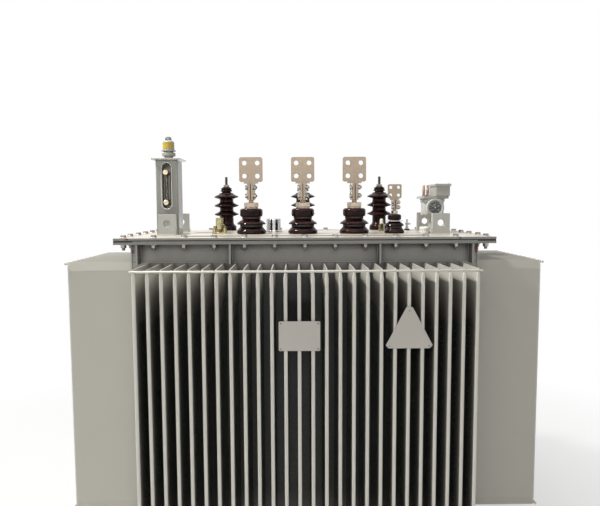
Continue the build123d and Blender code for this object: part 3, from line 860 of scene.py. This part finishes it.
# Each CAD node wears the finish named like its slot, or one of its own
own_looks = {
    "tank_cover": cover_paint, "bushing_plate": cover_paint, "tank_rim": rim_paint,
    "gauge_column": gauge_paint, "rim_gussets": wall_paint, "lifting_lugs": lug_paint,
}
side_fins = {"front": long_side_fins, "rear": long_side_fins, "left": end_fins, "right": end_fins}
for side, fin_paint in side_fins.items():
    own_looks[f"{side}_fins"] = fin_paint
    own_looks[f"{side}_wall"] = wall_paint
    own_looks[f"{side}_tie_rods"] = rod_paint
for phase in "abc":
    own_looks[f"lv_terminal_{phase}"] = terminal_metal(f"lv_terminal_{phase}", LV_CLAMP)
own_looks["neutral_terminal"] = terminal_metal("neutral_terminal", NEUTRAL_CLAMP)
for subpart in frame["record"]["subparts"]:
    name = subpart["node"]
    wear(name, own_looks.get(name) or looks[subpart["material_slot"]])

# Soft edges, by their width
soft_edges = {
    0.5: ("rating_plate", "warning_plate"),
    0.6: ("neutral_terminal",),
    0.8: ("bushing_plate", "lv_terminal_a", "lv_terminal_b", "lv_terminal_c",
          "front_tie_rods", "rear_tie_rods", "left_tie_rods", "right_tie_rods"),
    1: ("tank_floor", "tank_rim", "rim_gussets", "tank_cover", "gauge_column", "gauge_top_plate"),
    1.2: ("cover_gasket", "relay_head"),
    1.5: ("lifting_lugs", "relay_terminal_box"),
    2: ("left_skid", "right_skid"),
}
for width, names in soft_edges.items():
    for name in names:
        soften(name, width)


# Porcelain
def hv_profile():
    """Corners of a high-voltage bushing."""
    corners = list(HV_BASE_PROFILE)
    for level in HV_SHED_LEVELS:
        corners += [(radius, level + height, rounding) for radius, height, rounding in HV_SHED_PROFILE]
    return corners + HV_CAP_PROFILE


def bushings():
    """Porcelain bodies with their seals and rings, and black rings in the grooves under the skirts as painted
    shade.
    """
    for phase in "abc":
        node = f"lv_bushing_{phase}"
        spot = at(*foot(node))
        piece(f"lv_porcelain_{phase}", turned(LV_PROFILE, spot), porcelain, [node])
        piece(f"lv_seal_and_groove_shade_{phase}", discs(spot, LV_NECK_SEAL, LV_GROOVE_SHADE_RING), rubber)
        node = f"hv_bushing_{phase}"
        piece(f"hv_porcelain_{phase}", turned(hv_profile(), at(*foot(node))), porcelain, [node])
    node = "neutral_bushing"
    spot = at(*foot(node))
    piece("neutral_porcelain", turned(NEUTRAL_PROFILE, spot), porcelain, [node])
    piece("neutral_ring", discs(spot, NEUTRAL_RING), washer_zinc)
    piece("neutral_groove_shade", discs(spot, NEUTRAL_GROOVE_SHADE_RING), rubber)


# Bolts and studs
def through_bolt(metalwork, washers, head_place, nut_place, bolt):
    """Bolt with its head and washers at one place, and its washers, nut and tail at the other."""
    for place, height in ((head_place, bolt["head"]), (nut_place, bolt["nut"])):
        seat = bolt["washer"]
        washers.add(disc(bolt["washer_radius"], 0, seat), place)
        if "spring" in bolt:
            washers.add(disc(bolt["spring_radius"], seat, seat + bolt["spring"]), place)
            seat += bolt["spring"]
        end = seat + height
        metalwork.add(hexagon(bolt["across"], seat, end), place)
    metalwork.add(thread(bolt["thread"], end - THREAD_LAP, end + bolt["tail"], bolt["pitch"]), nut_place)


def rim_bolts():
    """Bolts all round the rim."""
    low, high = box_mm("tank_rim")
    top = box_mm("tank_cover")[1].z
    reach_x = high.x - RIM_BOLT_END_INSET
    reach_y = high.y - RIM_BOLT_INSET
    places = []
    for i in range(RIM_BOLT_GAPS_LONG + 1):
        x = reach_x * (2 * i / RIM_BOLT_GAPS_LONG - 1)
        places += [(x, -reach_y), (x, reach_y)]
    for i in range(1, RIM_BOLT_GAPS_SHORT):
        y = reach_y * (2 * i / RIM_BOLT_GAPS_SHORT - 1)
        places += [(-high.x + RIM_BOLT_INSET, y), (high.x - RIM_BOLT_INSET, y)]
    bolts = Form()
    washers = Form()
    for x, y in places:
        through_bolt(bolts, washers, at(x, y, top), at(x, y, low.z) @ DOWNWARD, RIM_BOLT)
    piece("rim_bolts", bolts, bolt_zinc)
    piece("rim_washers", washers, washer_zinc)


def clamp_bolts(name, bushing, terminal, clamp, bolt):
    """Two bolts along X that close a terminal's split sleeve, with their heads on the left."""
    middle = foot(bushing)
    low = box_mm(terminal)[0]
    form = Form()
    for share in CLAMP_BOLT_SHARES:
        spot = at(middle.x, low.y + clamp["ear_reach"] / 2, low.z + share * clamp["height"])
        left = spot @ at(-clamp["half_grip"], 0, 0) @ LEFTWARD
        right = spot @ at(clamp["half_grip"], 0, 0) @ RIGHTWARD
        through_bolt(form, form, left, right, bolt)
    piece(name, form, bolt_zinc)


def stud(form, spot, size):
    """Threaded stud with a washer and a chamfered nut at its foot."""
    nut_top = size["washer"] + size["nut"]
    form.add(disc(size["across"] / sqrt(3), 0, size["washer"]), spot)
    form.add(hexagon(size["across"], size["washer"], nut_top), spot)
    form.add(thread(size["radius"], nut_top - THREAD_LAP, size["length"], size["pitch"]), spot)


def terminal_hardware():
    """Studs, nuts and clamp bolts of the terminals."""
    studs = Form()
    for phase in "abc":
        bushing = f"lv_bushing_{phase}"
        stud(studs, crown(bushing), LV_STUD)
        clamp_bolts(f"lv_clamp_bolts_{phase}", bushing, f"lv_terminal_{phase}", LV_CLAMP, LV_CLAMP_BOLT)
    bushing = "neutral_bushing"
    stud(studs, crown(bushing), NEUTRAL_STUD)
    clamp_bolts("neutral_clamp_bolts", bushing, "neutral_terminal", NEUTRAL_CLAMP, NEUTRAL_CLAMP_BOLT)
    piece("lv_stud_nuts", studs, nut_tan, ["lv_studs"])
    posts = Form()
    nuts = Form()
    for phase in "abc":
        spot = crown(f"hv_bushing_{phase}")
        posts.add(thread(*HV_POST), spot)
        nuts.add(disc(*HV_WASHER), spot).add(hexagon(*HV_NUT), spot)
    piece("hv_posts", posts, dark_steel, ["hv_studs"])
    piece("hv_stud_nuts", nuts, post_tan)


# Welds
def collar_welds():
    """Bead where the fin panels meet the plain collar, all round the tank."""
    level = box_mm("front_fins")[1].z + COLLAR_WELD_LIFT
    corner = box_mm("tank_floor")[1]
    end_x = corner.x - COLLAR_WELD_INSET
    end_y = corner.y - COLLAR_WELD_INSET
    long_seed, short_seed = COLLAR_SEEDS
    form = Form()
    for side in (-1, 1):
        x = side * (corner.x + COLLAR_WELD_STAND)
        y = side * (corner.y + COLLAR_WELD_STAND)
        form.add(bead((-end_x, y, level), (end_x, y, level), COLLAR_WELD, long_seed + side))
        form.add(bead((x, -end_y, level), (x, end_y, level), COLLAR_WELD, short_seed + side))
    piece("collar_welds", form, tank_paint)


def foot_welds():
    """Beads at the feet of the lugs and the gauge column, along the gussets and down the collar's corners."""
    runs = []
    top = box_mm("tank_cover")[1].z + FOOT_WELD_LIFT
    low, high = box_mm("lifting_lugs")
    half = LUG_WELD_HALF
    for x in (low.x + half + LUG_WELD_INSET, high.x - half - LUG_WELD_INSET):
        for y in (low.y, low.y + LUG_THICKNESS, high.y - LUG_THICKNESS, high.y):
            runs.append(((x - half, y, top), (x + half, y, top), LUG_WELD))
    low, high = box_mm("gauge_column")
    front = high.y - GAUGE_DEPTH
    inset = GAUGE_WELD_INSET
    for y in (front, high.y):
        runs.append(((low.x + inset, y, top), (high.x - inset, y, top), GAUGE_WELD))
    for x in (low.x, high.x):
        runs.append(((x, front + inset, top), (x, high.y - inset, top), GAUGE_WELD))
    low, high = box_mm("rim_gussets")
    corner = box_mm("tank_floor")[1]
    end = high.z - GUSSET_WELD_INSET
    for place in GUSSET_PLACES:
        for y in (-corner.y, corner.y):
            for x in (place - GUSSET_HALF, place + GUSSET_HALF):
                runs.append(((x, y, low.z + GUSSET_WELD_INSET), (x, y, end), GUSSET_WELD))
    for x in (-corner.x, corner.x):
        for y in (-corner.y, corner.y):
            runs.append(((x, y, low.z - CORNER_WELD_DROP), (x, y, end), CORNER_WELD))
    form = Form()
    for seed, (start, end, radius) in enumerate(runs, FOOT_SEED):
        form.add(bead(start, end, radius, seed))
    piece("foot_welds", form, tank_paint)


# Oil gauge
def window_trim():
    """Pale bead round the window's raised rim."""
    low, high = box_mm("gauge_column")
    middle = (low.x + high.x) / 2
    centre = low.z + WINDOW_LEVEL
    line = []
    for end, start in ((1, 0), (-1, pi)):
        for step in range(WINDOW_STEPS + 1):
            angle = start + pi * step / WINDOW_STEPS
            x = middle + WINDOW_HALF_WIDTH * cos(angle)
            z = centre + end * WINDOW_STRAIGHT + WINDOW_HALF_WIDTH * sin(angle)
            line.append(Vector((x, low.y + WINDOW_BEAD_SINK, z)))
    piece("gauge_trim", Form().add(hoop(line, WINDOW_BEAD)), pale_plastic)


def gauge_fittings():
    """Slotted brass fittings at the ends of the sight tube, the tube and the plate behind it."""
    low, high = box_mm("gauge_screws")
    radius = (high.x - low.x) / 2
    length = high.y - low.y
    crest = radius - FITTING_CROWN_INSET
    form = Form()
    for level, slant in zip((low.z + radius, high.z - radius), FITTING_SLANTS):
        spot = at((low.x + high.x) / 2, high.y, level) @ FRONTWARD @ turn(slant, "Z")
        form.add(disc(radius - FITTING_NECK_INSET, 0, length - FITTING_NECK), spot)
        form.add(disc(radius, length - FITTING_HEAD, length - FITTING_SLOT), spot)
        for side in (-1, 1):
            form.add(half_moon(crest, FITTING_SLOT_HALF, length - FITTING_CROWN, length, side), spot)
    piece("gauge_fittings", form, brass, ["gauge_screws"])
    low, high = box_mm("gauge_glass")
    length = high.z - low.z
    spot = at(*foot("gauge_glass"))
    tube = TUBE_END + [(radius, length - level) for radius, level in reversed(TUBE_END)]
    skin = stack([ring(radius, level, SMALL_TURNS) for radius, level in tube], endless=True)
    piece("gauge_tube", Form().add(skin, spot), smoky_glass, ["gauge_glass"])
    corners = (-SCALE_HALF_WIDTH, SCALE_FRONT, 0), (SCALE_HALF_WIDTH, SCALE_BACK, length)
    piece("gauge_scale", Form().add(slab(*corners, SCALE_EDGE), spot), back_plastic)


def label_ring(radius, share):
    """Oval on a cylinder about Z, as a share of the label's size."""
    points = []
    for i in range(LABEL_STEPS):
        angle = 2 * pi * i / LABEL_STEPS
        swing = radians(LABEL_HALF_ANGLE) * cos(angle) * share
        height = LABEL_LEVEL + LABEL_HALF_HEIGHT * sin(angle) * share
        points.append((radius * sin(swing), -radius * cos(swing), height))
    return points


def valve():
    """Relief valve with its bare oval label."""
    spot = at(*foot("relief_valve"))
    piece("valve_turned", turned(VALVE_PROFILE, spot), valve_paint, ["relief_valve"])
    cap = Form().add(disc(*VALVE_CAP), spot).add(hexagon(*VALVE_HEX), spot)
    piece("valve_cap", cap, dark_metal)
    piece("valve_ring", discs(spot, VALVE_RING), valve_paint)
    rings = [label_ring(LABEL_BACK, share) for share in LABEL_SHARES]
    rings += [label_ring(LABEL_FACE, share) for share in reversed(LABEL_SHARES)]
    piece("valve_label", Form().add(stack(rings), spot), label_yellow)


# Protection relay
def relay():
    """Vessel, flange, screws and glands of the relay."""
    spot = at(*foot("relay_body"))
    piece("relay_vessel", turned(RELAY_PROFILE, spot), cream_plastic, ["relay_body"])
    piece("relay_collar", discs(spot, RELAY_COLLAR), cool_plastic)
    flange = discs(spot, RELAY_FLANGE)
    for angle in FLANGE_BOLT_ANGLES:
        bolt = spot @ turn(angle, "Z") @ at(FLANGE_BOLT_REACH, 0, FLANGE_HEIGHT)
        flange.add(disc(*FLANGE_WASHER), bolt).add(hexagon(*FLANGE_HEX), bolt)
    piece("relay_flange", flange, washer_zinc)
    screws = Form()
    low, high = box_mm("relay_terminal_box")
    for x in (low.x + BOX_SCREW_INSET, high.x - BOX_SCREW_INSET):
        for y in (low.y + BOX_SCREW_INSET, high.y - BOX_SCREW_INSET):
            screws.add(disc(*BOX_SCREW), at(x, y, high.z))
    piece("relay_screws", screws, washer_zinc)
    low, high = box_mm("relay_glands")
    glands = Form()
    for x in (low.x + GLAND_INSET, high.x - GLAND_INSET):
        post = at(x, (low.y + high.y) / 2, low.z)
        glands.add(hexagon(*GLAND_NUT), post)
        glands.add(thread(*GLAND_THREAD), post)
        glands.add(lathe(rounded(GLAND_PROFILE), SMALL_TURNS), post)
    piece("relay_gland_nuts", glands, copper, ["relay_glands"])


def dial():
    """Instrument case with a dark face, ticks, generic figures, a needle and a glass."""
    low, high = box_mm("relay_dial")
    spot = at((low.x + high.x) / 2, high.y, (low.z + high.z) / 2) @ FRONTWARD
    piece("dial_case", turned(DIAL_PROFILE, spot), dial_plastic, ["relay_dial"])
    piece("dial_face", discs(spot, DIAL_FACE), dark_face)
    ticks = Form()
    for i in range(TICK_GAPS + 1):
        angle = DIAL_START + i * DIAL_SWEEP / TICK_GAPS
        figured = i % FIGURE_EVERY == 0
        start = LONG_TICK_START if figured else SHORT_TICK_START
        corners = (start, -TICK_HALF, DIAL_LEVEL), (TICK_REACH, TICK_HALF, DIAL_LEVEL + TICK_HEIGHT)
        ticks.add(slab(*corners, TICK_EDGE), spot @ turn(angle, "Z"))
        if figured:
            x = FIGURE_REACH * cos(radians(angle))
            y = FIGURE_REACH * sin(radians(angle))
            ticks.add(digits(str(FIGURE_STEP * (TICK_GAPS - i))), spot @ at(x, y, DIAL_LEVEL))
    ticks.add(slab(*NEEDLE), spot @ turn(NEEDLE_ANGLE, "Z"))
    ticks.add(disc(*DIAL_HUB), spot)
    piece("dial_ticks", ticks, tick_white)
    piece("dial_glass", discs(spot, DIAL_GLASS), glass)


# Small fittings on the cover
def thermometer_pocket():
    """Hexagon cap on a thread, on a flange with two bolts."""
    spot = at(*foot("thermometer_pocket"))
    pocket = Form().add(slab(*POCKET_FLANGE), spot).add(hexagon(*POCKET_CAP), spot)
    flange_top = POCKET_FLANGE[1][2]
    for x in (-POCKET_BOLT_REACH, POCKET_BOLT_REACH):
        post = spot @ at(x, 0, flange_top)
        pocket.add(disc(*POCKET_WASHER), post).add(hexagon(*POCKET_NUT), post)
        pocket.add(thread(*POCKET_STUD), post)
    piece("pocket_cap", pocket, yellow_zinc, ["thermometer_pocket"])
    piece("pocket_thread", Form().add(thread(*POCKET_THREAD), spot), copper)


def filler_valve():
    """Hexagon body with a white cap."""
    spot = at(*foot("filler_valve"))
    body = Form().add(disc(*FILLER_FOOT), spot).add(hexagon(*FILLER_HEX), spot)
    piece("filler_body", body, yellow_zinc, ["filler_valve"])
    cap = Form().add(disc(*FILLER_NECK), spot).add(disc(*FILLER_CAP), spot)
    piece("filler_cap", cap, white_plastic)


def tap_changer():
    """Polished cap of the tap changer."""
    spot = at(*foot("tap_changer"))
    piece("changer_cap", turned(CHANGER_PROFILE, spot), chrome, ["tap_changer"])


def plug():
    """White plug with grip ribs."""
    skin = ribbed(PLUG_PROFILE, PLUG_RIB_DEPTH, PLUG_TURNS)
    form = Form().add(skin, at(*foot("plug_cap")))
    piece("plug_turned", form, white_plastic, ["plug_cap"])


def bleed_valve():
    """Turned valve with a side knob, on a red foot."""
    low, high = box_mm("bleed_valve")
    spot = at(low.x + BLEED_FOOT[0], (low.y + high.y) / 2, low.z)
    bleed = turned(BLEED_PROFILE, spot, SMALL_TURNS)
    knob = spot @ at(0, 0, BLEED_KNOB_LEVEL) @ RIGHTWARD
    bleed.add(disc(*BLEED_PIN), knob).add(disc(*BLEED_KNOB), knob)
    piece("bleed_turned", bleed, chrome, ["bleed_valve"])
    piece("bleed_foot", Form().add(disc(*BLEED_FOOT), spot), red_mark)


# Plates, paint and gasket
def plate_rivets():
    """Small rivets that hold the bare plates."""
    low, high = box_mm("rating_plate")
    face = low.y
    inset = RATING_RIVET_INSET
    places = [(x, z) for x in (low.x + inset, high.x - inset) for z in (low.z + inset, high.z - inset)]
    low, high = box_mm("warning_plate")
    inset = WARNING_RIVET_INSET
    places.append(((low.x + high.x) / 2, high.z - inset))
    places += [(x, low.z + WARNING_RIVET_LIFT) for x in (low.x + inset, high.x - inset)]
    form = Form()
    for x, z in places:
        form.add(disc(*RIVET), at(x, face, z) @ FRONTWARD)
    piece("plate_rivets", form, dark_metal)


def paint_dabs():
    """Dark red inspection dabs on the collar's corners and the cover's edge."""
    wall = box_mm("tank_floor")[0].y
    low, high = box_mm("tank_cover")
    form = Form()
    for x, z, half_x, half_z, seed in COLLAR_DABS:
        form.add(dab(half_x, half_z, seed), at(x, wall, z) @ FRONTWARD)
    for x, half_x, seed in COVER_DABS:
        form.add(dab(half_x, COVER_DAB_HALF, seed), at(x, low.y, high.z - COVER_DAB_DROP) @ FRONTWARD)
    piece("paint_dabs", form, red_mark)


def gasket_edges():
    """Black gasket standing out at the corners, and painted stop bars under the cover between them."""
    low, high = box_mm("cover_gasket")
    edge = box_mm("tank_cover")[1]
    corner = edge.x - GASKET_CORNER
    corners = Form()
    bars = Form()
    for y in (-1, 1):
        inner = y * (high.y - GASKET_LAP)
        front, back = sorted((inner, y * (edge.y + GASKET_SHOW)))
        for x in (-1, 1):
            left, right = sorted((x * corner, x * (edge.x - GASKET_END_INSET)))
            ends = (left, front, low.z - GASKET_DROP), (right, back, high.z - GASKET_PLAY)
            corners.add(slab(*ends, GASKET_EDGE))
        front, back = sorted((inner, y * (edge.y - GASKET_PLAY)))
        bars.add(slab((-corner, front, low.z), (corner, back, low.z + STOP_HEIGHT), STOP_EDGE))
    piece("gasket_corners", corners, rubber)
    piece("gasket_stops", bars, rim_paint)


bushings()
rim_bolts()
terminal_hardware()
collar_welds()
foot_welds()
window_trim()
gauge_fittings()
valve()
relay()
dial()
thermometer_pocket()
filler_valve()
tap_changer()
plug()
bleed_valve()
plate_rivets()
paint_dabs()
gasket_edges()

# World, floor and lamps, in metres and watts
FLOOR_HALF = 9
FLOOR_TONE = (0.72, 0.72, 0.71, 1)
FLOOR_WHITE_FROM = 0.9
FLOOR_WHITE_TO = 2.6
FLOOR_LEAST_WHITE = 0.55
SKY_STOPS = [(0, (0.34, 0.33, 0.31)), (0.9, (1, 0.99, 0.97))]
SKY_STRENGTH = 0.27
LAMP_TONE = (1, 0.98, 0.95)
KEY_TONE = (1, 0.985, 0.95)


def white_share(tree):
    """1 for rays from the camera, from gloss and through glass, which see the white background."""
    path = tree.nodes.new("ShaderNodeLightPath")
    total = path.outputs["Is Camera Ray"]
    for name in ("Is Glossy Ray", "Is Transmission Ray"):
        total = shader_node(tree, "Math", {0: total, 1: path.outputs[name]}, operation="MAXIMUM")
    return total


def sky():
    """White to the camera, and a soft light that fades towards the ground."""
    world = bpy.data.worlds.new("world")
    bpy.context.scene.world = world
    world.use_nodes = True
    tree = world.node_tree
    soft = tree.nodes["Background"]
    place = shader_node(tree, "TexCoord", output="Generated")
    height = shader_node(tree, "SeparateXYZ", {"Vector": place}, "Z")
    tree.links.new(colour_ramp(tree, height, SKY_STOPS), soft.inputs["Color"])
    soft.inputs["Strength"].default_value = SKY_STRENGTH
    white = shader_node(tree, "Background", {"Color": (1, 1, 1, 1)})
    mix = shader_node(tree, "MixShader", {"Fac": white_share(tree), 1: soft.outputs["Background"], 2: white})
    tree.links.new(mix, tree.nodes["World Output"].inputs["Surface"])


def floor():
    """Pale floor that goes over into the white background away from the tank."""
    half = FLOOR_HALF
    mesh = bpy.data.meshes.new("floor")
    corners = [(-half, -half, 0), (half, -half, 0), (half, half, 0), (-half, half, 0)]
    mesh.from_pydata(corners, [], [(0, 1, 2, 3)])
    made = bpy.data.objects.new("floor", mesh)
    bpy.context.scene.collection.objects.link(made)
    look = Look("floor", specular=0.1)
    look.set("Base Color", FLOOR_TONE)
    look.set("Roughness", 0.9)
    distance = look.node("VectorMath", {0: look.place}, "Value", operation="LENGTH")
    away = look.span(distance, FLOOR_WHITE_FROM, FLOOR_WHITE_TO, FLOOR_LEAST_WHITE, 1)
    share = look.both(away, white_share(look.tree))
    white = look.node("Emission")
    mix = look.node("MixShader", {"Fac": share, 1: look.shader.outputs["BSDF"], 2: white})
    look.tree.links.new(mix, look.tree.nodes["Material Output"].inputs["Surface"])
    mesh.materials.append(look.material)


def lamp(name, place, aim, width, height, power, colour=LAMP_TONE):
    """Soft rectangular lamp."""
    data = bpy.data.lights.new(name, "AREA")
    data.shape = "RECTANGLE"
    data.size = width
    data.size_y = height
    data.energy = power
    data.color = colour
    made = bpy.data.objects.new(name, data)
    made.location = place
    heading = Vector(aim) - Vector(place)
    made.rotation_euler = heading.to_track_quat("-Z", "Y").to_euler()
    bpy.context.scene.collection.objects.link(made)


def camera():
    """Camera of the photograph."""
    data = bpy.data.cameras.new("camera")
    data.sensor_width = CAMERA_SENSOR
    data.lens = CAMERA_LENS
    data.clip_end = CAMERA_FAR
    made = bpy.data.objects.new("camera", data)
    bpy.context.scene.collection.objects.link(made)
    yaw = turn(CAMERA_YAW, "Z")
    pitch = turn(90 - CAMERA_PITCH, "X")
    roll = turn(CAMERA_ROLL, "Z")
    made.matrix_world = at(*CAMERA_PLACE) @ yaw @ pitch @ roll
    bpy.context.scene.camera = made


sky()
floor()
lamp("overhead", (0, -0.5, 4.5), (0, -0.2, 1), width=3, height=2, power=25)
lamp("key", (-2.4, -0.5, 4.6), (0.2, -0.35, 1.1), width=0.5, height=0.5, power=260, colour=KEY_TONE)
lamp("front", (-0.5, -4.4, 2.7), (0, -0.2, 0.7), width=4, height=1.4, power=67)
lamp("rear", (1.2, 4.6, 0.6), (0, 0, 0.7), width=5, height=0.8, power=50)
camera()
bpy.context.scene.view_settings.view_transform = "Standard"
